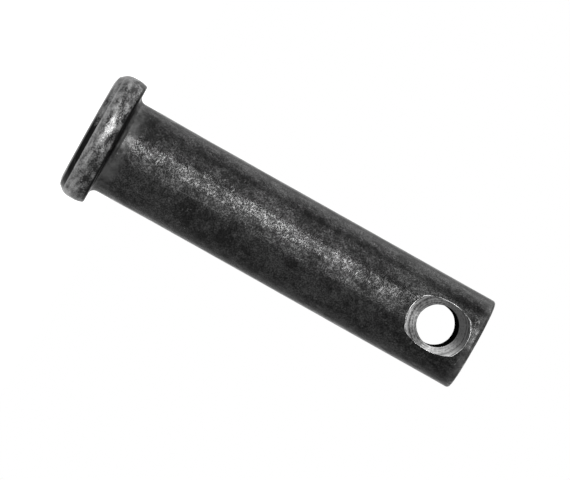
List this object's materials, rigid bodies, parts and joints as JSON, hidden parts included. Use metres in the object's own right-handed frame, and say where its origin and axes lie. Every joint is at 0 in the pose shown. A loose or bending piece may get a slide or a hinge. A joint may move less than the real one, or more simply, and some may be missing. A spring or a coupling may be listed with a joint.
{
  "type": "clevis pin",
  "caption": "Headed steel clevis pin: a round shank, a flat head with a rounded rim, and a countersunk cross hole near the tip for a cotter that keeps it in a clevis.",
  "frame": {"origin": "centre of the head's outer face, which the pin stands on", "axes": "+Z along the shank from the head to the tip; Y along the cross hole; X across it"},
  "size_m": [0.0174, 0.0174, 0.0564],
  "materials": {
    "blackened_steel": "blackened cold-headed steel, dull scale with worn bright patches; bare machined countersinks"
  },
  "bodies": {
    "root": {"clevis_pin": "blackened_steel"}
  },
  "joints": []
}
